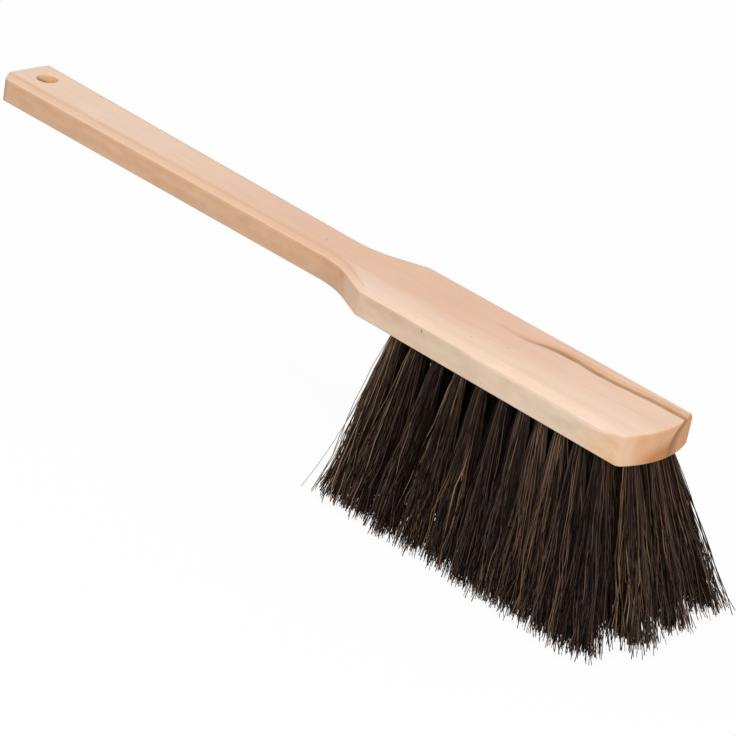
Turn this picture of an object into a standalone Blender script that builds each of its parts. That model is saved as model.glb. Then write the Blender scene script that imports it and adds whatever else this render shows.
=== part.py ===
"""Hand broom: a one-piece beech body whose block carries four rows of folded bristle tufts.

Units are metres and +Z is up. The broom stands on its bristle tips at z = 0, its length lies
along X with the nose at +X, and the origin is under the middle of its bounding box.
"""

import math
import random

import bmesh
import bpy
from mathutils import Matrix, Vector

# Board, seen from above: a tapering handle, a ramped shoulder and a straight block
TOTAL_LENGTH = 0.460
HANDLE_LENGTH = 0.2835
SHOULDER_LENGTH = 0.0285
BOARD_THICKNESS = 0.016
HANDLE_END_WIDTH = 0.034
NECK_WIDTH = 0.0267
BLOCK_WIDTH = 0.052
NOSE_RISE = 0.006

# Roundings of the board's outline
HANDLE_CORNER_RADIUS = 0.0025
NECK_RADIUS = 0.040
SHOULDER_RADIUS = 0.012
NOSE_CORNER_RADIUS = 0.002
INNER_CORNER_RADIUS = 0.0008

# Hollow chamfer along both top edges: it goes right through the handle's end, which is only
# eased, and runs out in front of the nose, whose own edge keeps a small share of it
CHAMFER_WIDTH = 0.0032
CHAMFER_DEPTH = 0.0030
CHAMFER_HOLLOW = 0.0007
RUN_OUT_LENGTH = 0.012
NOSE_CHAMFER_SHARE = 0.25
END_EASE = 0.0008

# Hanging hole near the end of the handle
HANG_HOLE_DIAMETER = 0.012
HANG_HOLE_INSET = 0.0162

# Tuft holes, drilled into the underside of the block; the outer rows are one tuft shorter,
# the far one sits nearer to the nose, and the near one was drilled at uneven distances
TUFT_HOLE_DIAMETER = 0.0065
TUFT_HOLE_DEPTH = 0.0105
DRILL_POINT_DEPTH = 0.0012
TUFT_PITCH = 0.0131
ROW_SPACING = 0.0130
FRONT_TUFT_INSET = 0.0134
TUFTS_PER_ROW = (11, 12, 12, 11)
FAR_ROW_ADVANCE = 0.004
NEAR_ROW_PITCH_SHARES = (1.05, 1.12, 1.08, 1.06, 1.15, 0.88, 0.84, 0.92, 0.92, 0.98)

# Bristles: how far they reach below the block, and how the fan opens on the way down
BRISTLE_REACH = 0.086
SIDE_LEAN_SHARE = 1.24
FRONT_LEAN_SHARE = 0.225
TUFT_SPREAD_ALONG = 0.0074
TUFT_SPREAD_ACROSS = 0.0130
EARLY_SPREAD_SHARE = 0.50
TUFT_COLLAR = 0.0016

# Strands: three-sided, bending once where the bundle opens, all trimmed flat at the tips
MID_SHARE = 0.36
MID_STRAND_RADIUS = 0.0011
TIP_STRAND_RADIUS = 0.0008
TIP_CUT_DEPTH = 0.0005
SHORTEST_TIP = 0.0050

# Anchor: a flat wire driven across the fold of each tuft, its ends biting into the hole's wall
ANCHOR_BITE = 0.0004
ANCHOR_HEIGHT = 0.0018
ANCHOR_THICKNESS = 0.0006
ANCHOR_SETBACK = 0.0022

# Fits
CLEARANCE = 0.0003
OVERRUN = 0.002

# Faceting
FILLET_STEPS = 6
NECK_STEPS = 8
NOSE_STEPS = 10
CHAMFER_STEPS = 4
RUN_OUT_STEPS = 4
HANG_HOLE_SIDES = 40
TUFT_HOLE_SIDES = 12
BUNDLE_SIDES = 10
SHARP_EDGE_DEGREES = 25
SEED = 7

# Faces of a tuft's mouth that grow a strand, counted round its outer and its inner ring
OUTER_STRAND_FACES = (0, 2, 4, 6, 8, 10, 12)
INNER_STRAND_FACES = (0, 2)

# Finishes
BEECH_COLOUR = (0.80, 0.60, 0.44)
BEECH_ROUGHNESS = 0.62
FIBRE_COLOUR = (0.030, 0.021, 0.016)
FIBRE_ROUGHNESS = 0.55

BLOCK_UNDERSIDE = BRISTLE_REACH
BUNDLE_RADIUS = TUFT_HOLE_DIAMETER / 2 - CLEARANCE


def clear_scene():
    for obj in list(bpy.data.objects):
        bpy.data.objects.remove(obj)


def new_collection(name):
    collection = bpy.data.collections.new(name)
    bpy.context.scene.collection.children.link(collection)
    return collection


def new_material(name, colour, roughness):
    material = bpy.data.materials.new(name)
    material.use_nodes = True
    material.diffuse_color = (*colour, 1)
    shader = material.node_tree.nodes["Principled BSDF"]
    shader.inputs["Base Color"].default_value = (*colour, 1)
    shader.inputs["Roughness"].default_value = roughness
    shader.inputs["Metallic"].default_value = 0
    return material


def mesh_object(name, bm, collection):
    mesh = bpy.data.meshes.new(name)
    bm.to_mesh(mesh)
    bm.free()
    obj = bpy.data.objects.new(name, mesh)
    collection.objects.link(obj)
    return obj


def evaluated_mesh(obj):
    bpy.context.view_layer.update()
    graph = bpy.context.evaluated_depsgraph_get()
    return bpy.data.meshes.new_from_object(obj.evaluated_get(graph))


def fillet(before, corner, after, radius, steps):
    """Points of the arc that rounds the corner between two straight edges."""
    back = (before - corner).normalized()
    ahead = (after - corner).normalized()
    half_angle = back.angle(ahead) / 2
    centre = corner + (back + ahead).normalized() * (radius / math.sin(half_angle))
    reach = radius / math.tan(half_angle)
    first = corner + back * reach - centre
    last = corner + ahead * reach - centre
    turn = -first.angle_signed(last)
    return [centre + Matrix.Rotation(turn * step / steps, 2) @ first for step in range(steps + 1)]


def arc(centre, radius, first_angle, last_angle, steps):
    points = []
    for step in range(steps + 1):
        angle = first_angle + (last_angle - first_angle) * step / steps
        points.append(centre + Vector((math.cos(angle), math.sin(angle))) * radius)
    return points


def inset_corner(before, corner, after, first_inset, second_inset):
    """Where two edges of the outline meet once each is drawn inwards by its own inset."""
    first = (corner - before).normalized()
    second = (after - corner).normalized()
    inward = Matrix(((first.y, -first.x), (second.y, -second.x)))
    return corner + inward.inverted() @ Vector((first_inset, second_inset))


def tightened(radius, inset):
    """The radius of a rounded corner that is drawn inwards."""
    return max(INNER_CORNER_RADIUS, radius - inset)


def nose_points(inset=0):
    """The rounded corner and the shallow arc of the nose, from the block's side to its tip."""
    half_width = BLOCK_WIDTH / 2
    outer_radius = (half_width**2 + NOSE_RISE**2) / (2 * NOSE_RISE)
    nose_centre = Vector((TOTAL_LENGTH - outer_radius, 0))
    nose_radius = outer_radius - inset
    corner_radius = tightened(NOSE_CORNER_RADIUS, inset)
    corner_y = half_width - inset - corner_radius
    corner_reach = math.sqrt((nose_radius - corner_radius) ** 2 - corner_y**2)
    corner_centre = nose_centre + Vector((corner_reach, corner_y))
    meet = math.atan2(corner_y, corner_reach)
    corner = arc(corner_centre, corner_radius, math.pi / 2, meet, FILLET_STEPS)
    return corner + arc(nose_centre, nose_radius, meet, 0, NOSE_STEPS)[1:]


def run_out_start():
    return nose_points()[0].x - RUN_OUT_LENGTH


def chamfer_share(x):
    """How much of the chamfer is left at a place along the board."""
    run = min(1, max(0, (x - run_out_start()) / RUN_OUT_LENGTH))
    eased = run**2 * (3 - 2 * run)
    return 1 + (NOSE_CHAMFER_SHARE - 1) * eased


def run_out_points(inset):
    """Points of the block's side along which the chamfer runs out."""
    points = []
    for step in range(RUN_OUT_STEPS):
        x = run_out_start() + RUN_OUT_LENGTH * step / RUN_OUT_STEPS
        points.append(Vector((x, BLOCK_WIDTH / 2 - inset * chamfer_share(x))))
    return points


def half_outline(inset, end_inset):
    """The outline on its +Y side, from the middle of the handle's end to the nose, drawn inwards."""
    end_middle = Vector((0, 0))
    end_corner = Vector((0, HANDLE_END_WIDTH / 2))
    neck = Vector((HANDLE_LENGTH - SHOULDER_LENGTH, NECK_WIDTH / 2))
    shoulder = Vector((HANDLE_LENGTH, BLOCK_WIDTH / 2))
    block_side = Vector((TOTAL_LENGTH, BLOCK_WIDTH / 2))
    inner_middle = Vector((end_inset, 0))
    inner_corner = inset_corner(end_middle, end_corner, neck, end_inset, inset)
    inner_neck = inset_corner(end_corner, neck, shoulder, inset, inset)
    inner_shoulder = inset_corner(neck, shoulder, block_side, inset, inset)
    inner_side = block_side - Vector((0, inset))
    end_radius = tightened(HANDLE_CORNER_RADIUS, inset)
    shoulder_radius = tightened(SHOULDER_RADIUS, inset)
    points = [inner_middle]
    points += fillet(inner_middle, inner_corner, inner_neck, end_radius, FILLET_STEPS)
    points += fillet(inner_corner, inner_neck, inner_shoulder, NECK_RADIUS + inset, NECK_STEPS)
    points += fillet(inner_neck, inner_shoulder, inner_side, shoulder_radius, FILLET_STEPS)
    points += run_out_points(inset)
    return points + nose_points(inset * NOSE_CHAMFER_SHARE)


def full_outline(inset=0, end_inset=0):
    far_side = half_outline(inset, end_inset)
    near_side = [Vector((point.x, -point.y)) for point in far_side[1:-1]]
    return far_side[:1] + near_side + far_side[:0:-1]


def chamfer_rings():
    """Inset from the side, and depth below the top, of each ring up the hollow chamfer."""
    slope = math.hypot(CHAMFER_WIDTH, CHAMFER_DEPTH)
    for step in range(CHAMFER_STEPS + 1):
        share = step / CHAMFER_STEPS
        sag = CHAMFER_HOLLOW * 4 * share * (1 - share)
        inset = CHAMFER_WIDTH * share + sag * CHAMFER_DEPTH / slope
        depth = CHAMFER_DEPTH * (1 - share) + sag * CHAMFER_WIDTH / slope
        yield inset, depth


def board_blank():
    """The board without its holes, lofted from its underside up through the chamfer's rings."""
    bm = bmesh.new()
    outer = full_outline()
    shares = [chamfer_share(point.x) for point in outer]
    rings = [[bm.verts.new((point.x, point.y, 0)) for point in outer]]
    for inset, depth in chamfer_rings():
        ring = []
        for point, share in zip(full_outline(inset, max(0, END_EASE - depth)), shares):
            ring.append(bm.verts.new((point.x, point.y, BOARD_THICKNESS - depth * share)))
        rings.append(ring)
    for low, high in zip(rings, rings[1:]):
        for number in range(len(low)):
            bm.faces.new((low[number - 1], low[number], high[number], high[number - 1]))
    bm.faces.new(rings[0])
    bm.faces.new(rings[-1])
    bmesh.ops.recalc_face_normals(bm, faces=bm.faces)
    return bm


def row_places(row, count):
    """How far along the board each tuft of a row is, from the handle's side to the nose."""
    x = TOTAL_LENGTH - FRONT_TUFT_INSET - (max(TUFTS_PER_ROW) - count) * TUFT_PITCH / 2
    if row == len(TUFTS_PER_ROW) - 1:
        x += FAR_ROW_ADVANCE
    pitch_shares = NEAR_ROW_PITCH_SHARES if row == 0 else (1,) * (count - 1)
    places = [x]
    for share in reversed(pitch_shares):
        x -= TUFT_PITCH * share
        places.append(x)
    return places[::-1]


def tuft_places():
    """Each tuft's row, its number in the row and the point where it leaves the block."""
    for row, count in enumerate(TUFTS_PER_ROW):
        y = (row - (len(TUFTS_PER_ROW) - 1) / 2) * ROW_SPACING
        for place, x in enumerate(row_places(row, count)):
            yield row, place, Vector((x, y, BLOCK_UNDERSIDE))


def upright_place():
    """The X at which a tuft doesn't lean along the board: that of the outer rows' first tuft."""
    return min(mouth.x for row, place, mouth in tuft_places() if row == 0)


def tip_centre(mouth):
    """The middle of a tuft on the plane of the bristle tips."""
    lean_x = (mouth.x - upright_place()) * FRONT_LEAN_SHARE
    lean_y = mouth.y * SIDE_LEAN_SHARE
    return Vector((mouth.x + lean_x, mouth.y + lean_y, 0))


def hole_frame(mouth):
    """The frame in the mouth of a tuft hole, with its own +Z up along the slanted hole."""
    up = (mouth - tip_centre(mouth)).normalized()
    across = up.cross(Vector((1, 0, 0))).normalized()
    along = across.cross(up)
    turn = Matrix((along, across, up)).transposed().to_4x4()
    return Matrix.Translation(mouth) @ turn


def add_cylinder(bm, radius, sides, low, high):
    """A capped cylinder between two heights, its upper end a fan whose middle is returned."""
    made = bmesh.ops.create_cone(
        bm, cap_ends=True, segments=sides, radius1=radius, radius2=radius, depth=high - low
    )["verts"]
    bmesh.ops.translate(bm, verts=made, vec=(0, 0, (low + high) / 2))
    upper_end = max(bm.faces, key=lambda face: face.calc_center_median().z)
    return bmesh.ops.poke(bm, faces=[upper_end])["verts"][0]


def add_anchor(bm, length, height, thickness):
    """A flat bar across the hole, one setback short of the hole's full depth."""
    bar = bmesh.ops.create_cube(bm, size=1)["verts"]
    bmesh.ops.scale(bm, verts=bar, vec=(length, thickness, height))
    level = TUFT_HOLE_DEPTH - ANCHOR_SETBACK - ANCHOR_HEIGHT / 2
    bmesh.ops.translate(bm, verts=bar, vec=(0, 0, level))


def drill_cutter():
    """A drill's cylinder with its pointed end, flat to flat as wide as the hole."""
    bm = bmesh.new()
    radius = TUFT_HOLE_DIAMETER / 2 / math.cos(math.pi / TUFT_HOLE_SIDES)
    point = add_cylinder(bm, radius, TUFT_HOLE_SIDES, -OVERRUN, TUFT_HOLE_DEPTH)
    point.co.z += DRILL_POINT_DEPTH
    return bm


def notch_cutter():
    """The slot that an anchor's two ends press into the wall of its hole."""
    bm = bmesh.new()
    room = 2 * CLEARANCE
    length = TUFT_HOLE_DIAMETER + 2 * ANCHOR_BITE
    add_anchor(bm, length + room, ANCHOR_HEIGHT + room, ANCHOR_THICKNESS + room)
    return bm


def in_every_hole(name, make_cutter, collection):
    """One cutter mesh with a copy of a small cutter in the frame of every tuft hole."""
    joined = bmesh.new()
    for row, place, mouth in tuft_places():
        copy = make_cutter()
        bmesh.ops.transform(copy, verts=copy.verts, matrix=hole_frame(mouth))
        mesh = bpy.data.meshes.new(name)
        copy.to_mesh(mesh)
        copy.free()
        joined.from_mesh(mesh)
        bpy.data.meshes.remove(mesh)
    return mesh_object(name, joined, collection)


def hanging_hole_cutter(collection):
    bm = bmesh.new()
    low = BLOCK_UNDERSIDE - OVERRUN
    high = BLOCK_UNDERSIDE + BOARD_THICKNESS + OVERRUN
    add_cylinder(bm, HANG_HOLE_DIAMETER / 2, HANG_HOLE_SIDES, low, high)
    bmesh.ops.translate(bm, verts=bm.verts, vec=(HANG_HOLE_INSET, 0, 0))
    return mesh_object("hanging_hole", bm, collection)


def cut(obj, cutter):
    modifier = obj.modifiers.new(cutter.name, "BOOLEAN")
    modifier.operation = "DIFFERENCE"
    modifier.solver = "EXACT"
    modifier.object = cutter
    cutter.hide_render = True
    cutter.display_type = "WIRE"


def beech_body(parent, collection, cutters):
    """The whole board: handle, neck and block, with its hanging hole and its tuft holes."""
    body = mesh_object("beech_body", board_blank(), collection)
    body.location.z = BLOCK_UNDERSIDE
    body.parent = parent
    body.data.materials.append(new_material("raw_beech", BEECH_COLOUR, BEECH_ROUGHNESS))
    body.data.shade_smooth()
    body.data.set_sharp_from_angle(angle=math.radians(SHARP_EDGE_DEGREES))
    made = [
        hanging_hole_cutter(cutters),
        in_every_hole("tuft_holes", drill_cutter, cutters),
        in_every_hole("anchor_notches", notch_cutter, cutters),
    ]
    for cutter in made:
        cutter.parent = parent
        cut(body, cutter)
    return body


def folded_root(collection):
    """The mesh of a tuft's root in its hole frame: the folded bundle with its anchor."""
    bm = bmesh.new()
    top = TUFT_HOLE_DEPTH - CLEARANCE
    fold = add_cylinder(bm, BUNDLE_RADIUS, BUNDLE_SIDES, -TUFT_COLLAR, top)
    fold.co.z += DRILL_POINT_DEPTH
    bundle = mesh_object("bundle", bm, collection)
    bm = bmesh.new()
    length = TUFT_HOLE_DIAMETER + 2 * ANCHOR_BITE
    add_anchor(bm, length, ANCHOR_HEIGHT, ANCHOR_THICKNESS)
    anchor = mesh_object("anchor", bm, collection)
    modifier = bundle.modifiers.new("anchor", "BOOLEAN")
    modifier.operation = "UNION"
    modifier.solver = "EXACT"
    modifier.object = anchor
    mesh = evaluated_mesh(bundle)
    bpy.data.objects.remove(anchor)
    bpy.data.objects.remove(bundle)
    return mesh


def split_mouth(bm):
    """Divides the mouth into a ring and a fan of triangles; returns those that grow a strand."""
    mouth = min(bm.faces, key=lambda face: face.calc_center_median().z)
    rim = list(mouth.verts)
    level = rim[0].co.z
    bmesh.ops.delete(bm, geom=[mouth], context="FACES_ONLY")
    half = len(rim) // 2
    ring = [bm.verts.new((rim[2 * i].co.x / 2, rim[2 * i].co.y / 2, level)) for i in range(half)]
    centre = bm.verts.new((0, 0, level))
    outer, inner = [], []
    for number in range(half):
        here, ahead = ring[number], ring[(number + 1) % half]
        first, middle, last = (rim[(2 * number + step) % len(rim)] for step in range(3))
        outer.append(bm.faces.new((here, first, middle)))
        outer.append(bm.faces.new((here, middle, ahead)))
        outer.append(bm.faces.new((ahead, middle, last)))
        inner.append(bm.faces.new((here, ahead, centre)))
    return [outer[i] for i in OUTER_STRAND_FACES] + [inner[i] for i in INNER_STRAND_FACES]


def spread_at(share):
    """Half widths of a tuft along and across the board, a share of the way down to the tips."""
    eased = EARLY_SPREAD_SHARE * math.sqrt(share) + (1 - EARLY_SPREAD_SHARE) * share
    along = BUNDLE_RADIUS + (TUFT_SPREAD_ALONG - BUNDLE_RADIUS) * eased
    across = BUNDLE_RADIUS + (TUFT_SPREAD_ACROSS - BUNDLE_RADIUS) * eased
    return along, across


def strand_centre(mouth, place, height):
    """The middle of a strand at a height; its place in the bundle is in shares of the radius."""
    share = 1 - height / BLOCK_UNDERSIDE
    along, across = spread_at(share)
    axis = mouth.lerp(tip_centre(mouth), share)
    return Vector((axis.x + place.x * along, axis.y + place.y * across, height))


def grow_strands(bm, faces, mouth, chance):
    """Draws each chosen face of the mouth down into a strand with one bend and a flat tip."""
    frame = hole_frame(mouth)
    into_frame = frame.inverted()
    turn = frame.to_3x3()
    for face in faces:
        middle = face.calc_center_median()
        place = turn @ Vector((middle.x, middle.y, 0)) / BUNDLE_RADIUS
        arms = [(turn @ (vert.co - middle)) * Vector((1, 1, 0)) for vert in face.verts]
        natural_tip = SHORTEST_TIP * chance.random() ** 2 - TIP_CUT_DEPTH
        stops = (
            (BLOCK_UNDERSIDE * (1 - MID_SHARE), MID_STRAND_RADIUS),
            (max(0, natural_tip), TIP_STRAND_RADIUS),
        )
        for height, radius in stops:
            face = bmesh.ops.extrude_discrete_faces(bm, faces=[face])["faces"][0]
            centre = strand_centre(mouth, place, height)
            for vert, arm in zip(face.verts, arms):
                vert.co = into_frame @ (centre + arm.normalized() * radius)


def tuft(name, mouth, root_mesh, material, chance, parent, collection):
    """One bundle, folded over its anchor in its hole, that opens into loose strands."""
    bm = bmesh.new()
    bm.from_mesh(root_mesh)
    grow_strands(bm, split_mouth(bm), mouth, chance)
    obj = mesh_object(name, bm, collection)
    obj.matrix_world = hole_frame(mouth)
    obj.parent = parent
    obj.data.materials.append(material)
    return obj


def centre_on_origin(parent, parts):
    """Moves the broom until the origin lies under the middle of its bounding box."""
    bpy.context.view_layer.update()
    corners = [part.matrix_world @ vert.co for part in parts for vert in part.data.vertices]
    for axis in range(2):
        low = min(corner[axis] for corner in corners)
        high = max(corner[axis] for corner in corners)
        parent.location[axis] = -(low + high) / 2


def main():
    clear_scene()
    collection = new_collection("hand_broom")
    cutters = new_collection("cutters")
    broom = bpy.data.objects.new("hand_broom", None)
    collection.objects.link(broom)
    parts = [beech_body(broom, collection, cutters)]
    fibre = new_material("dark_plant_fibre", FIBRE_COLOUR, FIBRE_ROUGHNESS)
    root_mesh = folded_root(cutters)
    for number, (row, place, mouth) in enumerate(tuft_places()):
        name = f"tuft_{row + 1}_{place + 1:02d}"
        chance = random.Random(SEED + number)
        parts.append(tuft(name, mouth, root_mesh, fibre, chance, broom, collection))
    bpy.data.meshes.remove(root_mesh)
    centre_on_origin(broom, parts)


main()
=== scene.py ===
"""Hand broom: the finished look of its beech board, fibre tufts and wire anchors.

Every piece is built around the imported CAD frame, in metres, with +Z up and the nose at +X.
"""

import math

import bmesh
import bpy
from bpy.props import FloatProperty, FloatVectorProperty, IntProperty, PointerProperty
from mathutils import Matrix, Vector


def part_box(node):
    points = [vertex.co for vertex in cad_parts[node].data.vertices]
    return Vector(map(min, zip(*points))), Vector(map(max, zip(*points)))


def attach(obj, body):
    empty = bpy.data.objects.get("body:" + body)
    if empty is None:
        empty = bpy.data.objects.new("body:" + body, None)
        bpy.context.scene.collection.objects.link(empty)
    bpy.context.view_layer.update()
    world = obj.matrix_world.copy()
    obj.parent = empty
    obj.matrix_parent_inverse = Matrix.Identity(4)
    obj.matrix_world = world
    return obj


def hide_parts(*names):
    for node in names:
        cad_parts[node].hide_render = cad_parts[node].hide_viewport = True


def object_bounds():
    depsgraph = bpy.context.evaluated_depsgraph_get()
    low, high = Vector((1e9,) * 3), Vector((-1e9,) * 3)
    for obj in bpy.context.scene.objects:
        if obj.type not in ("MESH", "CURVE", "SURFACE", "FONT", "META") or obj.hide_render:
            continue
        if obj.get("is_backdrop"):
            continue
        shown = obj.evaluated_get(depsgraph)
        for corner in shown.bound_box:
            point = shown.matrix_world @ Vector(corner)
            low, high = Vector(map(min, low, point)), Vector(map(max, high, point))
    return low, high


bl_info = {
    "name": "Hand Broom",
    "version": (1, 0, 0),
    "blender": (4, 5, 0),
    "location": "3D View > Sidebar > Hand Broom",
    "description": "Builds a beech hand broom with four rows of folded fibre tufts",
    "category": "Add Mesh",
}

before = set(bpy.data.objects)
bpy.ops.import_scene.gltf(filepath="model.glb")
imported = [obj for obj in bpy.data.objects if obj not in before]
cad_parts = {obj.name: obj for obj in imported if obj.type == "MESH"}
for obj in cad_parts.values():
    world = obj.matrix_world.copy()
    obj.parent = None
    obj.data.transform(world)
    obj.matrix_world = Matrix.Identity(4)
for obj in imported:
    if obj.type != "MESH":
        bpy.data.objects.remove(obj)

CAD_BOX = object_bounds()
BODY_LOW, BODY_HIGH = (Vector(corner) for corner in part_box("beech_body"))
BOARD_ORIGIN = Vector((BODY_LOW.x, (BODY_LOW.y + BODY_HIGH.y) / 2, BODY_LOW.z))
BRISTLE_REACH = BODY_LOW.z
MILLIMETRE = 0.001

# Tufts in each row from the near row to the far row, and the near row's uneven distances
TUFTS_PER_ROW = (11, 12, 12, 11)
NEAR_ROW_PITCH_SHARES = (1.05, 1.12, 1.08, 1.06, 1.15, 0.88, 0.84, 0.92, 0.92, 0.98)

# Steps of the board's arcs and of its edge profile
HANDLE_CORNER_STEPS = 12
NECK_STEPS = 20
SHOULDER_STEPS = 16
NOSE_CORNER_STEPS = 12
NOSE_STEPS = 28
RUN_OUT_STEPS = 12
EDGE_STEPS = 5
COVE_STEPS = 8
ARRIS_STEPS = 3
SHARP_ANGLE = math.radians(38)

# The hanging hole's rim and the sides of the round cutters, which reach past the wood
RIM_STEPS = 4
RIM_SWEEP = math.radians(78)
HANG_HOLE_SIDES = 64
TUFT_HOLE_SIDES = 20
CUTTER_OVERLAP = 2 * MILLIMETRE

# How far the faces beside a rounding reach past it, in its radii
ARRIS_CLEARANCE, RIM_CLEARANCE = 4, 1.5

# Wood material marks: worn arris and painted highlight, chamfer, painted shade under its top edge
NO_MARKS = (0, 0, 0)
BOTTOM_MARKS = (1, 0, 0)
LOWER_ARRIS_MARKS = (1, 1, 0)
UPPER_ARRIS_MARKS = (0.3, 1, 1)

# The wood's figure in millimetres: the pith's place in the board and the ring of the dark line
BOARD_END = (BODY_HIGH.x - BODY_LOW.x) / MILLIMETRE
PITH_AT_END, PITH_AT_NOSE, PITH_HEIGHT = -5.0, 18.0, 2.4
PITH_WOBBLE, PITH_KINK = 0.7, -2.4
DARK_RING = 14.0

# Dark lines: inset from the ring, half width, strength, where each starts and is full, shade
DARK_LINES = (
    (0.9, 2.6, 0.66, 356.0, 378.0, 1.0),
    (1.0, 3.0, 0.16, 338.0, 352.0, 1.0),
    (0.1, 1.3, 0.46, 350.0, 392.0, 0.6),
    (5.0, 1.4, 0.20, 370.0, 400.0, 1.0),
)

# Blemishes in millimetres: centre, half sizes and strength of the side's knot and the top's specks
KNOT = ((328.2, -26.0, 10.9), (0.45, 1.5, 1.3), 0.75)
SPECKS = (
    ((238.5, -2.7, 16.0), (0.8, 0.6, 1.0), 0.55),
    ((350.6, -16.6, 16.0), (1.2, 0.9, 1.0), 0.30),
    ((367.0, -8.0, 16.0), (1.0, 0.8, 1.0), 0.20),
    ((386.0, 13.4, 16.0), (12.0, 2.8, 2.0), 0.30),
)

# How fine the wood's patterns are along, across and up the board, in cells a millimetre
MOTTLE_SCALE = (0.030, 0.12, 0.12)
BLOTCH_SCALE = (0.085, 0.2, 0.2)
STREAK_SCALE = (0.018, 0.85, 0.85)
FLECK_SCALE = (0.20, 1.0, 1.0)
PORE_SCALE = (0.35, 5.0, 5.0)

# Points of a fibre from its fold to its tip, and the shares of them in the fold and the hole
LEG_POINTS = 12
FOLD_SHARE = 2 / LEG_POINTS
HOLE_SHARE = 3 / LEG_POINTS
GOLDEN_ANGLE = math.pi * (3 - math.sqrt(5))

# Clumps across a bundle's radius, and what shortens a fibre, as shares of the raggedness
CLUMP_SCALE = 2.6
CLUMP_SHORTENING, TIP_SHORTENING, OFF_CLUMP_SHORTENING = 0.42, 0.62, 0.75

# Powers: how rare very short tips are, and how late fibres draw together and stand off
SHORT_TIP_POWER, CLUMPING_POWER, STRAY_POWER = 2.5, 1.6, 1.8

# A fibre's slow waves down its length and their width, and the share of fibres that are loose
WAVES, WAVE_WIDTH = 2.6, 3.6
LOOSE_FIBRES = 0.06

# Shifts in the patterns that set tufts and legs apart
SEED_SHIFT, LEG_SHIFT = 5.3, 7.31

# A fibre's thickness as a share of the mean, and the two parts of its tone
THINNEST, THICKEST = 0.62, 1.38
OWN_TONE, TUFT_TONE = 0.76, 0.24

# Random draws of a tuft, each with its own offset from the tuft's seed
TIP_DRAW, WAY_DRAW, STRAY_DRAW, TONE_DRAW, THICKNESS_DRAW, TILT_DRAW = range(1, 7)
SEED_STEP = 17

# How far the fibres may pass the CAD box
BOX_MARGIN = Vector((0.012, 0.0012, 0.0))

# Stage, in metres
FLOOR_SIZE = 4.0
LAMP_SIZE = 1.0
KEY_PLACE = (-0.35, -0.75, 2.0)
FILL_PLACE = (1.2, -0.95, 0.75)
SENSOR_WIDTH = 36
CLIP_START = 0.01


# Properties


def decimal(name, description, default, **settings):
    return FloatProperty(name=name, description=description, default=default, **settings)


def whole(name, description, default):
    return IntProperty(name=name, description=description, default=default)


def metres(name, description, default):
    return decimal(name, description, default, unit="LENGTH")


def watts(name, description, default):
    return decimal(name, description, default, unit="POWER")


def factor(name, description, default):
    return decimal(name, description, default, subtype="FACTOR")


def turn(name, description, degrees):
    return decimal(name, description, math.radians(degrees), subtype="ANGLE")


def tint(name, description, default):
    return FloatVectorProperty(
        name=name, description=description, default=default, subtype="COLOR", min=0, max=1)


class BoardSizes(bpy.types.PropertyGroup):
    """Sizes of the one-piece beech board."""

    length: metres(
        "Length", "From the handle's end to the tip of the nose", BODY_HIGH.x - BODY_LOW.x)
    thickness: metres("Thickness", "Thickness of the board", BODY_HIGH.z - BODY_LOW.z)
    block_width: metres(
        "Block width", "Width of the block that carries the tufts", BODY_HIGH.y - BODY_LOW.y)
    handle_length: metres("Handle length", "From the handle's end to the straight block", 0.2850)
    shoulder_length: metres("Shoulder length", "Of the ramp between neck and block", 0.0265)
    end_width: metres("End width", "Width of the handle at its end", 0.034)
    neck_width: metres("Neck width", "Width of the handle where the shoulder starts", 0.0267)
    nose_rise: metres("Nose rise", "How far the nose's arc stands before its corners", 0.006)
    handle_corner_radius: metres(
        "Handle corner radius", "Rounding of the two corners of the handle's end", 0.0025)
    inner_corner_radius: metres(
        "Inner corner radius", "Least rounding of a corner that is drawn inwards", 0.0008)
    neck_radius: metres("Neck radius", "Hollow rounding where the neck opens", 0.052)
    shoulder_radius: metres("Shoulder radius", "Rounding between shoulder and block", 0.007)
    nose_corner_radius: metres("Nose corner radius", "Of the two corners of the nose", 0.004)
    nose_edge_radius: metres("Nose edge radius", "Of the top edge across the nose", 0.0010)
    end_edge_radius: metres("End edge radius", "Of the top edge across the handle's end", 0.0008)
    run_out_length: metres(
        "Run-out length", "Length of the near side over which its chamfer runs out", 0.012)
    far_run_out_length: metres(
        "Far run-out length", "Width of the nose over which the far chamfer runs out", 0.006)
    chamfer_width: metres("Chamfer width", "How far it reaches in over the top", 0.0032)
    chamfer_depth: metres("Chamfer depth", "How far it reaches down the side", 0.0030)
    cove_depth: metres("Cove depth", "How far the chamfer's middle is hollowed", 0.00055)
    edge_radius: metres("Edge radius", "Sanded rounding of the bottom edge", 0.0007)
    arris_radius: metres("Arris radius", "Sanded rounding of the chamfer's two edges", 0.0005)
    hang_hole_diameter: metres("Hanging hole", "Diameter of the hole to hang it by", 0.012)
    hang_hole_inset: metres(
        "Hanging hole inset", "From the handle's end to the hole's middle", 0.0162)
    hang_hole_rim: metres("Hanging hole rim", "Rounding of the hole's two rims", 0.00035)


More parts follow.
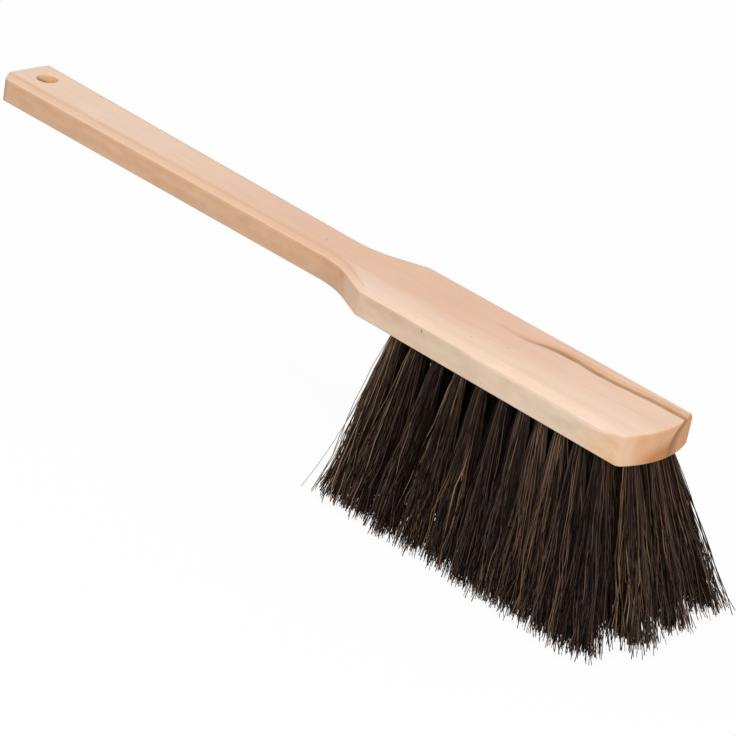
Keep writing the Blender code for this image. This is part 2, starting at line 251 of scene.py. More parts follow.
class TuftSizes(bpy.types.PropertyGroup):
    """Sizes of the tufts, their holes and their wire anchors."""

    hole_diameter: metres("Hole diameter", "Diameter of a drilled tuft hole", 0.0065)
    hole_depth: metres("Hole depth", "Depth of a tuft hole without the drill's point", 0.0105)
    drill_point: metres("Drill point", "Depth of the cone that the drill leaves", 0.0012)
    pitch: metres("Pitch", "Distance between two tufts of a row", 0.0131)
    row_spacing: metres("Row spacing", "Distance between two rows", 0.0130)
    front_inset: metres("Front inset", "From the nose's tip to the foremost tuft", 0.0134)
    far_row_advance: metres(
        "Far row advance", "How much nearer to the nose the far row sits", 0.004)
    side_lean: decimal(
        "Side lean", "How far the rows fan out, as a share of their distance", 1.24)
    front_lean: decimal("Front lean", "How far the tufts fan out towards the nose", 0.218)
    upright_setback: metres(
        "Upright setback", "How far behind the first tuft one would stand upright", 0.006)
    bundle_radius: metres("Bundle radius", "Of a bundle where it leaves its hole", 0.00300)
    spread_along: metres("Spread along", "Half width of a tuft's tips along the board", 0.0062)
    spread_across: metres("Spread across", "Half width of a tuft's tips across it", 0.0076)
    early_spread: factor("Early spread", "Share of the spread that opens near the block", 0.60)
    inner_early_spread: factor(
        "Inner early spread", "The same share for the two inner rows", 0.90)
    fibres: whole("Fibres", "Fibres of a tuft; each is folded double and has two tips", 140)
    fibre_radius: metres("Fibre radius", "Mean radius of a fibre", 0.00021)
    raggedness: metres("Raggedness", "How far the shortest tips end above the floor", 0.0062)
    clumping: factor("Clumping", "How far the tips draw together in points", 0.66)
    wander: metres("Wander", "How far a fibre strays from its straight way", 0.0049)
    lock_wander: metres("Lock wander", "How far a lock of fibres strays from its tuft", 0.0030)
    stray: metres("Stray", "How far the few loose fibres stand off", 0.0060)
    wire_height: metres("Wire height", "Width of the flat anchor wire", 0.0018)
    wire_thickness: metres("Wire thickness", "Thickness of the flat anchor wire", 0.0006)
    wire_bite: metres("Wire bite", "How far a wire's end bites into its hole's wall", 0.0004)
    wire_setback: metres("Wire setback", "From the hole's full depth to the anchor", 0.0022)
    seed: whole("Seed", "Seed of everything random", 11)


class Finishes(bpy.types.PropertyGroup):
    """Colours of the wood, the fibres and the floor, scene linear."""

    sapwood: tint("Sapwood", "Pale wood near the plank's edge", (0.893, 0.652, 0.500))
    pink_wood: tint("Pink wood", "Warm wood in its middle", (0.82, 0.530, 0.382))
    heartwood: tint("Heartwood", "Orange wood inside the dark ring", (0.83, 0.505, 0.315))
    dark_ring: tint("Dark ring", "Line round the heartwood", (0.42, 0.20, 0.08))
    handle_side: tint("Handle side", "Wood on the handle's edges", (0.76, 0.445, 0.265))
    block_side: tint("Block side", "Wood on the block's edges", (0.77, 0.575, 0.42))
    nose_side: tint("Nose side", "The block's edge near the nose", (0.87, 0.535, 0.315))
    end_grain: tint("End grain", "Cross cut wood", (0.80, 0.445, 0.24))
    pale_end: tint("Pale end grain", "Cross cut sapwood", (0.87, 0.545, 0.36))
    deep_end: tint("Deep end grain", "Cross cut heartwood", (0.58, 0.215, 0.062))
    # Darker end grain at the handle's end and its upper rim
    worn_end: tint("Worn end grain", "Of the handle's end", (0.36, 0.27, 0.18))
    # Rubbed arrises, lightened partly by wear and partly as a painted highlight
    worn_edge: tint("Worn edge", "Rubbed arrises", (0.97, 0.80, 0.62))
    # Lit and shaded copies of the hole wall's colour: painted light and painted shade
    lit_bore: tint("Bore", "Wall of the hanging hole", (1.0, 0.62, 0.32))
    shaded_bore: tint("Scorch", "Burnt wall of a drilled hole", (0.50, 0.28, 0.14))
    fleck: tint("Fleck", "Ray flecks and pores", (0.42, 0.22, 0.11))
    knot: tint("Knot", "Small knot in the block's side", (0.10, 0.05, 0.03))
    dark_fibre: tint("Dark fibre", "Most of the fibres", (0.0160, 0.0072, 0.0048))
    brown_fibre: tint("Brown fibre", "Lighter fibres", (0.166, 0.108, 0.080))
    golden_fibre: tint("Golden fibre", "The few light fibres", (0.68, 0.420, 0.245))
    wire: tint("Wire", "Tinned anchor wire", (0.56, 0.54, 0.50))
    floor: tint("Floor", "Pale floor", (0.60, 0.60, 0.60))


class StageSettings(bpy.types.PropertyGroup):
    """Camera and light."""

    azimuth: turn("Azimuth", "Bearing of the camera; 0 looks along +Y", 39.87)
    elevation: turn("Elevation", "Height of the camera's bearing over the floor", 25.66)
    roll: turn("Roll", "Turn of the camera about its own view", 10.87)
    camera_place: FloatVectorProperty(
        name="Camera place", description="From the underside's middle at the handle's end",
        default=(1.08745, -0.96891, 0.56809), subtype="TRANSLATION", unit="LENGTH")
    focal_length: decimal("Focal length", "In millimetres on a 36 mm sensor", 137.32)
    sky: decimal("Sky", "Strength of the even light from all round", 0.60)
    key_power: watts("Key power", "Of the high lamp on the left", 11.0)
    fill_power: watts("Fill power", "Of the low lamp on the right", 9.0)
    floor_glow: factor("Floor glow", "Share of the floor's white that needs no light", 0.93)


# Node helpers


class Signal:
    """A node's output that can be calculated with; each step adds a math node to its tree."""

    def __init__(self, socket):
        self.socket = socket
        self.single = socket.type in ("VALUE", "INT")

    def __getitem__(self, key):
        """Another output of the same node."""
        return Signal(self.socket.node.outputs[key])

    def calc(self, operation, *others):
        """Any operation of a math node; the others are its further inputs."""
        kind = "ShaderNodeMath" if self.single else "ShaderNodeVectorMath"
        result = 1 if operation in ("LENGTH", "DISTANCE", "DOT_PRODUCT") else 0
        return node(kind, dict(enumerate((self, *others))), result, operation=operation)

    def __mul__(self, other):
        by_single = isinstance(other, (int, float)) or (isinstance(other, Signal) and other.single)
        if self.single or not by_single:
            return self.calc("MULTIPLY", other)
        return node("ShaderNodeVectorMath", {0: self, 3: other}, operation="SCALE")

    def __add__(self, other):
        return self.calc("ADD", other)

    def __sub__(self, other):
        return self.calc("SUBTRACT", other)

    def __rsub__(self, other):
        return node("ShaderNodeMath", {0: other, 1: self}, operation="SUBTRACT")

    def __truediv__(self, other):
        return self.calc("DIVIDE", other)

    def __pow__(self, other):
        return self.calc("POWER", other)

    def __abs__(self):
        return self.calc("ABSOLUTE")

    __radd__ = __add__
    __rmul__ = __mul__


def feed(socket, value):
    """Links a signal to a socket, or sets the socket to a plain value or an opaque colour."""
    if isinstance(value, Signal):
        socket.id_data.links.new(value.socket, socket)
    elif socket.type == "RGBA":
        socket.default_value = (*value[:3], 1.0)
    else:
        socket.default_value = value


def node(kind, inputs=None, output=0, tree=None, **settings):
    """Adds a node and gives an output of it; where no tree is named, its inputs' tree is meant."""
    inputs = inputs or {}
    if tree is None:
        tree = next(value.socket.id_data for value in inputs.values() if isinstance(value, Signal))
    made = tree.nodes.new(kind)
    for name, value in settings.items():
        setattr(made, name, value)
    for key, value in inputs.items():
        feed(made.inputs[key], value)
    return Signal(made.outputs[output]) if made.outputs else None


def joined(x=0.0, y=0.0, z=0.0):
    return node("ShaderNodeCombineXYZ", {0: x, 1: y, 2: z})


def parted(vector):
    parts = node("ShaderNodeSeparateXYZ", {0: vector})
    return parts[0], parts[1], parts[2]


def ranged(value, low, high, start=0.0, end=1.0, kind="LINEAR"):
    """Value from low..high brought to start..end, and held there."""
    inputs = {0: value, 1: low, 2: high, 3: start, 4: end}
    return node("ShaderNodeMapRange", inputs, interpolation_type=kind)


def rise(value, low, high):
    """A soft step from 0 at low to 1 at high; low may be the greater."""
    return ranged(value, low, high, kind="SMOOTHSTEP")


def mixed(share, first, second, blend="MIX"):
    inputs = {0: share, 6: first, 7: second}
    return node("ShaderNodeMix", inputs, 2, data_type="RGBA", blend_type=blend)


def noise(vector, detail=2.0, roughness=0.5):
    inputs = {"Vector": vector, "Scale": 1.0, "Detail": detail, "Roughness": roughness}
    return node("ShaderNodeTexNoise", inputs)


def noise_along(value, detail=2.0):
    inputs = {"W": value, "Scale": 1.0, "Detail": detail}
    return node("ShaderNodeTexNoise", inputs, noise_dimensions="1D")


def evened(value, start=0.0, end=1.0):
    """Noise, which seldom leaves 0.3..0.7, brought to start..end."""
    return ranged(value, 0.3, 0.7, start, end)


def new_material(name, roughness, specular):
    material = bpy.data.materials.new(name)
    material.use_nodes = True
    inputs = material.node_tree.nodes["Principled BSDF"].inputs
    feed(inputs["Roughness"], roughness)
    feed(inputs["Specular IOR Level"], specular)
    return material, material.node_tree, inputs


# Shared modelling helpers


def helper_object(name, mesh):
    helper = bpy.data.objects.new(name, mesh)
    bpy.context.scene.collection.objects.link(helper)
    return helper


def piece_from(name, mesh, material, *nodes, slot=None):
    """A finished piece with its place in its mesh, riding on the one body."""
    piece = helper_object(name, mesh)
    if not mesh.materials:
        mesh.materials.append(material)
    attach(piece, "root")
    if nodes:
        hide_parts(*nodes)


def mesh_from(bm, name):
    """The mesh of a finished bmesh, which is freed."""
    mesh = bpy.data.meshes.new(name)
    bm.to_mesh(mesh)
    bm.free()
    return mesh


def closed_mesh(bm, name):
    """The same for a closed shape, whose faces are turned outwards."""
    bmesh.ops.recalc_face_normals(bm, faces=bm.faces)
    return mesh_from(bm, name)


def baked(helper):
    """The helper's mesh with its modifiers applied; the helper is removed."""
    bpy.context.view_layer.update()
    graph = bpy.context.evaluated_depsgraph_get()
    mesh = bpy.data.meshes.new_from_object(helper.evaluated_get(graph))
    helper.modifiers.clear()
    bpy.data.objects.remove(helper)
    return mesh


def fillet(before, corner, after, radius, steps):
    """Points of the arc that rounds the corner between two straight edges."""
    back = (before - corner).normalized()
    ahead = (after - corner).normalized()
    half_angle = back.angle(ahead) / 2
    centre = corner + (back + ahead).normalized() * (radius / math.sin(half_angle))
    reach = radius / math.tan(half_angle)
    first = corner + back * reach - centre
    last = corner + ahead * reach - centre
    sweep = -first.angle_signed(last)
    return [centre + Matrix.Rotation(sweep * step / steps, 2) @ first for step in range(steps + 1)]


def arc(centre, radius, first_angle, last_angle, steps):
    points = []
    for step in range(steps + 1):
        angle = first_angle + (last_angle - first_angle) * step / steps
        points.append(centre + Vector((math.cos(angle), math.sin(angle))) * radius)
    return points


def lathe(bm, profile, sides, frame_matrix):
    """A closed turned shape from (radius, height) points; its ends lie on the axis."""
    step = Matrix.Rotation(2 * math.pi / sides, 3, "Z")
    rings = []
    for radius, height in profile:
        arm = Vector((radius, 0, height))
        ring = []
        for side in range(sides if radius else 1):
            ring.append(bm.verts.new(frame_matrix @ arm))
            arm = step @ arm
        rings.append(ring)
    for low, high in zip(rings, rings[1:]):
        for side in range(sides):
            after = (side + 1) % sides
            corners = [low[side % len(low)], low[after % len(low)]]
            corners += [high[after % len(high)], high[side % len(high)]]
            bm.faces.new(list(dict.fromkeys(corners)))


# Board


def inset_corner(before, corner, after, first_inset, second_inset):
    """Where two edges of the outline meet once each is drawn inwards by its own inset."""
    first = (corner - before).normalized()
    second = (after - corner).normalized()
    inward = Matrix(((first.y, -first.x), (second.y, -second.x)))
    return corner + inward.inverted() @ Vector((first_inset, second_inset))


def tightened(sizes, radius, inset):
    """The radius of a rounded corner that is drawn inwards."""
    return max(sizes.inner_corner_radius, radius - inset)


def nose_points(sizes, inset=0.0):
    """The rounded corner and the shallow arc of the nose, from the block's side to its tip."""
    half_width = sizes.block_width / 2
    outer_radius = (half_width**2 + sizes.nose_rise**2) / (2 * sizes.nose_rise)
    nose_centre = Vector((sizes.length - outer_radius, 0))
    nose_radius = outer_radius - inset
    corner_radius = tightened(sizes, sizes.nose_corner_radius, inset)
    corner_y = half_width - inset - corner_radius
    corner_reach = math.sqrt((nose_radius - corner_radius) ** 2 - corner_y**2)
    corner_centre = nose_centre + Vector((corner_reach, corner_y))
    meet = math.atan2(corner_y, corner_reach)
    corner = arc(corner_centre, corner_radius, math.pi / 2, meet, NOSE_CORNER_STEPS)
    return corner + arc(nose_centre, nose_radius, meet, 0, NOSE_STEPS)[1:]


def run_out(sizes, point):
    """How far the chamfer has run out at a point of the outline, eased from 0 to 1.

    The near chamfer runs out before the nose. The far one goes through to the nose's end.
    """
    corner = nose_points(sizes)[0]
    if point.y <= 0:
        run = 1 + (point.x - corner.x) / sizes.run_out_length
    elif point.x < corner.x:
        run = 0.0
    else:
        run = (corner.y - sizes.chamfer_width - point.y) / sizes.far_run_out_length
    run = min(1.0, max(0.0, run))
    return run**2 * (3 - 2 * run)


def front_points(sizes, nose_inset=0.0):
    """Half of the outline from where the near chamfer runs out to the nose's tip."""
    start = nose_points(sizes)[0].x - sizes.run_out_length
    points = []
    for step in range(RUN_OUT_STEPS):
        x = start + sizes.run_out_length * step / RUN_OUT_STEPS
        points.append(Vector((x, sizes.block_width / 2 - nose_inset)))
    return points + nose_points(sizes, nose_inset)


def front_outline(sizes, inset, nose_inset, side):
    """The front half on one side, drawn in to the chamfer's inset where it hasn't run out."""
    points = []
    for plain, point in zip(front_points(sizes), front_points(sizes, nose_inset)):
        run = run_out(sizes, Vector((plain.x, side * plain.y)))
        cut = min(point.y, sizes.block_width / 2 - inset)
        points.append(Vector((point.x, side * (cut + (point.y - cut) * run))))
    return points


def full_outline(sizes, inset=0.0, end_inset=0.0, nose_inset=0.0):
    """The board's outline seen from above, once round, drawn inwards by three insets."""
    middle = Vector((0, 0))
    corner = Vector((0, sizes.end_width / 2))
    neck = Vector((sizes.handle_length - sizes.shoulder_length, sizes.neck_width / 2))
    shoulder = Vector((sizes.handle_length, sizes.block_width / 2))
    side = Vector((sizes.length, sizes.block_width / 2))
    inner_middle = Vector((end_inset, 0))
    inner_corner = inset_corner(middle, corner, neck, end_inset, inset)
    inner_neck = inset_corner(corner, neck, shoulder, inset, inset)
    inner_shoulder = inset_corner(neck, shoulder, side, inset, inset)
    inner_side = side - Vector((0, inset))
    end_radius = tightened(sizes, sizes.handle_corner_radius, inset)
    neck_radius = sizes.neck_radius + inset
    shoulder_radius = tightened(sizes, sizes.shoulder_radius, inset)
    handle = fillet(inner_middle, inner_corner, inner_neck, end_radius, HANDLE_CORNER_STEPS)
    handle += fillet(inner_corner, inner_neck, inner_shoulder, neck_radius, NECK_STEPS)
    handle += fillet(inner_neck, inner_shoulder, inner_side, shoulder_radius, SHOULDER_STEPS)
    near = [Vector((point.x, -point.y)) for point in handle]
    near += front_outline(sizes, inset, nose_inset, -1)[:-1]
    far = handle + front_outline(sizes, inset, nose_inset, 1)
    return [inner_middle] + near + far[::-1]


def rounding(radius, share, sweep=math.pi / 2):
    """How far a rounded edge lies inside its two faces, at a share of the way round it."""
    angle = sweep * share
    return radius * (1 - math.sin(angle)), radius * (1 - math.cos(angle))


def rounded_in(radius, below):
    """Inset of a rounded edge at a depth below the top."""
    if below >= radius:
        return 0.0
    return radius - math.sqrt(radius**2 - (radius - below) ** 2)


def bottom_edge(sizes):
    """Rings of the rounded bottom edge: three insets, two heights and the marks."""
    for step in range(EDGE_STEPS + 1):
        inset, height = rounding(sizes.edge_radius, step / EDGE_STEPS)
        yield inset, inset, inset, height, height, BOTTOM_MARKS


def cove_path(sizes):
    """Points of inset and height, with their marks, up the hollow chamfer and its two arrises."""
    width, depth = sizes.chamfer_width, sizes.chamfer_depth
    slope = math.hypot(width, depth)
    foot = Vector((0, sizes.thickness - depth))
    cove = []
    for step in range(COVE_STEPS + 1):
        share = step / COVE_STEPS
        sag = sizes.cove_depth * 4 * share * (1 - share)
        hollow = Vector((sag * depth / slope, -sag * width / slope))
        cove.append(foot + Vector((width, depth)) * share + hollow)
    ease = sizes.arris_radius
    below = foot - Vector((0, ease * ARRIS_CLEARANCE))
    inside = cove[-1] + Vector((ease * ARRIS_CLEARANCE, 0))
    lower = fillet(below, cove[0], cove[1], ease, ARRIS_STEPS)
    upper = fillet(cove[-2], cove[-1], inside, ease, ARRIS_STEPS)
    path = [(point, LOWER_ARRIS_MARKS) for point in lower]
    for step, point in enumerate(cove[1:-1], 1):
        # The third mark grows up the cove: painted shade below the chamfer's upper edge
        path.append((point, (0, 1, (step / COVE_STEPS) ** 2)))
    path += [(point, UPPER_ARRIS_MARKS) for point in upper]
    return below, path, inside


def top_edge(sizes):
    """Rings up the hollow chamfer, which at the nose is only a rounded edge."""
    below, path, inside = cove_path(sizes)
    end, nose, top = sizes.end_edge_radius, sizes.nose_edge_radius, sizes.thickness
    yield 0.0, 0.0, 0.0, below.y, top - 2 * nose, NO_MARKS
    for number, (point, marks) in enumerate(path):
        end_inset = rounded_in(end, top - point.y)
        below_top, nose_inset = rounding(nose, number / (len(path) - 1))
        yield point.x, end_inset, nose_inset, point.y, top - below_top, marks
    ease = sizes.arris_radius
    yield inside.x, end + ease, nose + ease, top, top, NO_MARKS


def board_shell(sizes):
    """The board without its holes, lofted from its underside up through the rings of its edges."""
    bm = bmesh.new()
    edge_marks = bm.verts.layers.float_vector.new("edge_marks")
    runs = [run_out(sizes, point) for point in full_outline(sizes)]
    rings = []
    for *insets, height, nose_height, marks in (*bottom_edge(sizes), *top_edge(sizes)):
        ring = []
        for point, run in zip(full_outline(sizes, *insets), runs):
            place = Vector((point.x, point.y, height + (nose_height - height) * run))
            vert = bm.verts.new(BOARD_ORIGIN + place)
            vert[edge_marks] = marks
            ring.append(vert)
        rings.append(ring)
    for low, high in zip(rings, rings[1:]):
        for number in range(len(low)):
            bm.faces.new((low[number - 1], low[number], high[number], high[number - 1]))
    bm.faces.new(rings[0])
    bm.faces.new(rings[-1])
    return closed_mesh(bm, "board_shell")


def turned_cutter(name, profile, sides, frames):
    """A helper object with the same turned shape in every frame."""
    bm = bmesh.new()
    for frame_matrix in frames:
        lathe(bm, profile, sides, frame_matrix)
    return helper_object(name, closed_mesh(bm, name))


def hanging_hole_cutter(sizes):
    """A drilled hole with a softly rounded rim at the top and at the bottom."""
    radius, rim, top = sizes.hang_hole_diameter / 2, sizes.hang_hole_rim, sizes.thickness
    clear = radius + rim * RIM_CLEARANCE
    low = []
    for step in range(RIM_STEPS + 1):
        height, wider = rounding(rim, step / RIM_STEPS, RIM_SWEEP)
        low.append((radius + wider, height))
    profile = [(0, -CUTTER_OVERLAP), (clear, -CUTTER_OVERLAP), (clear, -rim)] + low[::-1]
    profile += [(wide, top - height) for wide, height in low]
    profile += [(clear, top + rim), (clear, top + CUTTER_OVERLAP), (0, top + CUTTER_OVERLAP)]
    place = Matrix.Translation(BOARD_ORIGIN + Vector((sizes.hang_hole_inset, 0, 0)))
    return turned_cutter("hanging_hole", profile, HANG_HOLE_SIDES, [place])


def row_places(sizes, board_length, row, count):
    """How far along the board each tuft of a row is, from the handle's side to the nose."""
    x = board_length - sizes.front_inset - (max(TUFTS_PER_ROW) - count) * sizes.pitch / 2
    if row == len(TUFTS_PER_ROW) - 1:
        x += sizes.far_row_advance
    pitch_shares = NEAR_ROW_PITCH_SHARES if row == 0 else (1,) * (count - 1)
    places = [x]
    for share in reversed(pitch_shares):
        x -= sizes.pitch * share
        places.append(x)
    return places[::-1]


def tuft_places(sizes, board_length):
    """Each tuft's row and number with its mouth and its tip centre, in the world."""
    mouths = []
    for row, count in enumerate(TUFTS_PER_ROW):
        y = (row - (len(TUFTS_PER_ROW) - 1) / 2) * sizes.row_spacing
        for place, x in enumerate(row_places(sizes, board_length, row, count)):
            mouths.append((row + 1, place + 1, Vector((x, y, 0))))
    upright = min(mouth.x for row, place, mouth in mouths if row == 1) - sizes.upright_setback
    for row, place, mouth in mouths:
        lean = Vector(((mouth.x - upright) * sizes.front_lean, mouth.y * sizes.side_lean, 0))
        tip = mouth + lean - Vector((0, 0, BRISTLE_REACH))
        yield row, place, BOARD_ORIGIN + mouth, BOARD_ORIGIN + tip


def hole_frame(mouth, tip):
    """The frame in a tuft hole's mouth, with its own +Z up along the slanted hole."""
    up = (mouth - tip).normalized()
    across = up.cross(Vector((1, 0, 0))).normalized()
    along = across.cross(up)
    return Matrix.Translation(mouth) @ Matrix((along, across, up)).transposed().to_4x4()


def tuft_hole_cutter(sizes, board_length):
    radius = sizes.hole_diameter / 2
    profile = [(0, -CUTTER_OVERLAP), (radius, -CUTTER_OVERLAP), (radius, sizes.hole_depth)]
    profile.append((0, sizes.hole_depth + sizes.drill_point))
    frames = [hole_frame(*ends) for row, place, *ends in tuft_places(sizes, board_length)]
    return turned_cutter("tuft_holes", profile, TUFT_HOLE_SIDES, frames)


def drilled_board(board, tufts):
    """The board's mesh with every hole cut, smooth but for its real edges."""
    helper = helper_object("board", board_shell(board))
    cutters = [hanging_hole_cutter(board), tuft_hole_cutter(tufts, board.length)]
    for cutter in cutters:
        modifier = helper.modifiers.new(cutter.name, "BOOLEAN")
        modifier.operation = "DIFFERENCE"
        modifier.solver = "EXACT"
        modifier.object = cutter
    mesh = baked(helper)
    for cutter in cutters:
        bpy.data.objects.remove(cutter)
    mesh.shade_smooth()
    mesh.set_sharp_from_angle(angle=SHARP_ANGLE)
    helper = helper_object("board", mesh)
    modifier = helper.modifiers.new("flat_faces_stay_flat", "WEIGHTED_NORMAL")
    modifier.keep_sharp = True
    return baked(helper)


# Beech, in millimetres from the handle's end, the middle line and the underside


class Wood:
    """A point of the board: its place, which way it faces, its marks and its growth ring."""

    def __init__(self, tree):
        coordinates = node("ShaderNodeTexCoord", tree=tree)
        self.place = node("ShaderNodeMapping", {
            "Vector": coordinates["Object"],
            "Location": -BOARD_ORIGIN / MILLIMETRE,
            "Scale": (1 / MILLIMETRE,) * 3,
        })
        self.x, self.y, self.z = parted(self.place)
        self.lengthways, sideways, upwards = map(abs, parted(coordinates["Normal"]))
        marks = node("ShaderNodeAttribute", tree=tree, attribute_name="edge_marks")["Vector"]
        self.worn, self.chamfer, self.painted_cove_shade = parted(marks)

        # Cut ends, the sides, the nose's corners, and where along the board the point is
        upright = rise(upwards, 0.6, 0.3)
        self.end = rise(self.lengthways, 0.25, 0.75)
        self.side = rise(sideways, 0.80, 0.97) * upright
        self.corner = rise(sideways, 0.30, 0.60) * upright
        self.on_handle = rise(self.x, 290, 262)
        self.near_nose = rise(self.x, 340, 385)

        # The pith drifts sideways along the board, with one kink before the dark line
        drift = ranged(self.x, 0, BOARD_END, PITH_AT_END, PITH_AT_NOSE)
        wobble = evened(noise_along(self.x * 0.035, 1.0), -PITH_WOBBLE, PITH_WOBBLE)
        kink = rise(self.x, 378, 366) * PITH_KINK
        self.across = self.y - (drift + wobble + kink)
        self.up = self.z - PITH_HEIGHT
        self.ring = joined(self.across, self.up).calc("LENGTH")

        # Soft patches, broad zones that follow the rings, streaks along the grain and pores
        self.mottle = evened(noise(self.place * MOTTLE_SCALE, 3.0), -1, 1)
        self.zones = evened(noise_along(self.ring * 0.15), -1, 1)
        self.streaks = evened(noise(self.place * STREAK_SCALE, 3.0, 0.6))
        self.pores = rise(noise(self.place * PORE_SCALE, 1.0), 0.60, 0.75)


def base_wood(wood, finishes):
    """Pale sapwood at the near edge, pink in the middle, heartwood past the dark ring."""
    depth_in = wood.y + wood.mottle * 3.5 + wood.zones * 4.0 + ranged(wood.x, 300, 390, 5.0, 0.0)
    pink = rise(depth_in, -15, -3) * rise(wood.x, 60, 250) * ranged(wood.x, 330, 430, 1.0, 0.42)
    far_side = rise(wood.across, 2, 5) * wood.near_nose
    colour = mixed(pink.calc("MAXIMUM", far_side), finishes.sapwood, finishes.pink_wood)
    inside = rise(wood.ring, DARK_RING + 0.3, DARK_RING - 0.3) * wood.near_nose
    return mixed(inside, colour, finishes.heartwood)


def with_sides(wood, finishes, colour):
    """Orange wood on the handle's sides, greyer on the block's, warm before the nose."""
    on_handle = (wood.side + wood.chamfer * 0.42) * wood.on_handle
    colour = mixed(on_handle, colour, finishes.handle_side)
    behind = ranged(wood.x, 300, 345, 0.35, 0.0)
    block_side = mixed(behind, finishes.block_side, finishes.handle_side)
    on_block = wood.side * (1 - wood.on_handle) * ranged(wood.x, 330, 420, 1.0, 0.75)
    on_block *= rise(wood.chamfer * wood.near_nose, 0.4, 0.0)
    colour = mixed(on_block, colour, block_side)
    before_nose = wood.corner * rise(wood.x, 424, 447) * rise(wood.chamfer, 0.4, 0.0) * 0.85
    return mixed(before_nose, colour, finishes.nose_side)


def with_end_grain(wood, finishes, colour):
    """End grain: pale at the near corner, deep low down and past the ring, darker at the handle."""
    low = rise(wood.z - wood.y * 0.2, 12, 3.5) * rise(wood.y, -22, -6) * rise(wood.y, 14, 6)
    deep = low.calc("MAXIMUM", rise(wood.ring, 17, 13) * 0.40)
    cut = mixed(deep, finishes.end_grain, finishes.deep_end)
    cut = mixed(rise(wood.y + wood.mottle * 1.5, -15.5, -22), cut, finishes.pale_end)
    colour = mixed(wood.end, colour, cut)
    handle_end = rise(wood.x, 6, 3) * rise(wood.lengthways, 0.05, 0.65) * 0.5
    rim = rise(wood.x, 4.2, 1.8) * rise(wood.z, 13.4, 12.4) * 0.75
    return mixed(handle_end.calc("MAXIMUM", rim), colour, finishes.worn_end)


def toned(wood, colour):
    """The colour made lighter and darker by rings, streaks and patches, with painted shade."""
    bands = ranged(noise_along(wood.ring * 0.62, 1.0), 0.25, 0.75)
    tone = 0.905 + bands * 0.035 + ranged(wood.zones, -1, 1) * 0.060
    tone += wood.streaks * ranged(wood.end, 0, 1, 0.042, 0.02)
    patchy = ranged(wood.side, 0, 1, 0.06, 0.12)
    patchy = patchy.calc("MAXIMUM", ranged(wood.x, 370, 410, 0.0, 0.10))
    tone += ranged(wood.mottle, -1, 1) * patchy
    # Painted shade under the chamfer's upper edge on the handle
    tone -= wood.painted_cove_shade * wood.on_handle * 0.055
    # Painted shade, darker low down on the handle's sides
    tone -= wood.side * wood.on_handle * rise(wood.z, 9.5, 2.0) * 0.17
    tone -= wood.side * rise(wood.x, 190, 240) * rise(wood.x, 300, 270) * 0.07
    tone += evened(noise(wood.place * BLOTCH_SCALE), -0.09, 0.07) * wood.side
    # What is darker is redder too
    shade = node("ShaderNodeCombineColor", {0: tone**0.7, 1: tone, 2: tone**1.35})
    return mixed(1.0, colour, shade, "MULTIPLY")


def with_dark_lines(wood, finishes, colour):
    """The dark line where the ring comes out, with its paler start and a faint one inside."""
    bulge = (DARK_RING**2 - wood.up * wood.up).calc("MAXIMUM", 0.0).calc("SQRT")
    past_line = wood.across + bulge
    strength = evened(noise_along(wood.x * 0.11), 0.75, 1.0) + wood.end * 0.35
    widened = ranged(wood.end, 0, 1, 1.0, 1.5)
    for inset, half_width, power, first, last, shade in DARK_LINES:
        off_line = abs(past_line - inset) / widened
        line = rise(off_line, half_width, 0.35 * half_width) * rise(wood.x, first, last)
        colour = mixed(line * strength * power, colour, Vector(finishes.dark_ring) * shade)
    return colour


def with_flecks(wood, finishes, colour):
    """Ray flecks, short spindles that show on the sides, and pores, hair-thin dashes."""
    cells = node("ShaderNodeTexVoronoi", {"Vector": wood.place * FLECK_SCALE, "Scale": 1.0})
    fleck = rise(cells["Distance"], 0.26, 0.10) * rise(parted(cells["Color"])[0], 0.45, 0.85)
    colour = mixed(fleck * (wood.side * 0.26 + 0.05), colour, finishes.fleck)
    return mixed(wood.pores * 0.14, colour, finishes.fleck)


def with_blemish(wood, colour, blemish, blemish_colour):
    centre, half_sizes, strength = blemish
    from_centre = ((wood.place - centre) / half_sizes).calc("LENGTH")
    return mixed(rise(from_centre, 1.0, 0.55) * strength, colour, blemish_colour)


def with_bore(wood, finishes, board, colour):
    """The hanging hole's wall: painted bright where it is open to the light, painted shade below.
    """
    from_hole = joined(wood.x - board.hang_hole_inset / MILLIMETRE, wood.y)
    radius = board.hang_hole_diameter / 2 / MILLIMETRE
    on_wall = rise(from_hole.calc("LENGTH"), radius + 0.30, radius + 0.05)
    slant = from_hole.calc("DOT_PRODUCT", (0.42, 0.35, 0.0))
    # Painted shade on the lower wall, reaching higher on one side by the slant
    wall = mixed(rise(wood.z + slant, 11.9, 10.6), finishes.lit_bore, finishes.shaded_bore)
    return mixed(on_wall, colour, wall)


def beech_material(finishes, board):
    """Raw beech: growth rings about a pith that runs along the board, rays, pores and edges."""
    material, tree, shader_inputs = new_material("raw_beech", 0.6, 0.22)
    wood = Wood(tree)
    colour = base_wood(wood, finishes)
    colour = with_sides(wood, finishes, colour)
    colour = with_end_grain(wood, finishes, colour)
    colour = toned(wood, colour)
    colour = with_dark_lines(wood, finishes, colour)
    colour = with_flecks(wood, finishes, colour)
    colour = with_blemish(wood, colour, KNOT, finishes.knot)
    for speck in SPECKS:
        colour = with_blemish(wood, colour, speck, finishes.dark_ring)
    colour = with_bore(wood, finishes, board, colour)
    # Arrises lightened: partly wear, partly a painted highlight on the eased edges; less at the
    # nose
    worn = wood.worn * ranged(wood.x, 430, 442, 0.22, 0.06)
    feed(shader_inputs["Base Color"], mixed(worn, colour, finishes.worn_edge))
    feed(shader_inputs["Roughness"], ranged(wood.streaks, 0, 1, 0.66, 0.54))
    height = wood.streaks - wood.pores * 0.7
    bump = node("ShaderNodeBump", {"Strength": 0.35, "Distance": 0.00006, "Height": height})
    feed(shader_inputs["Normal"], bump)
    return material


# Geometry Nodes helpers


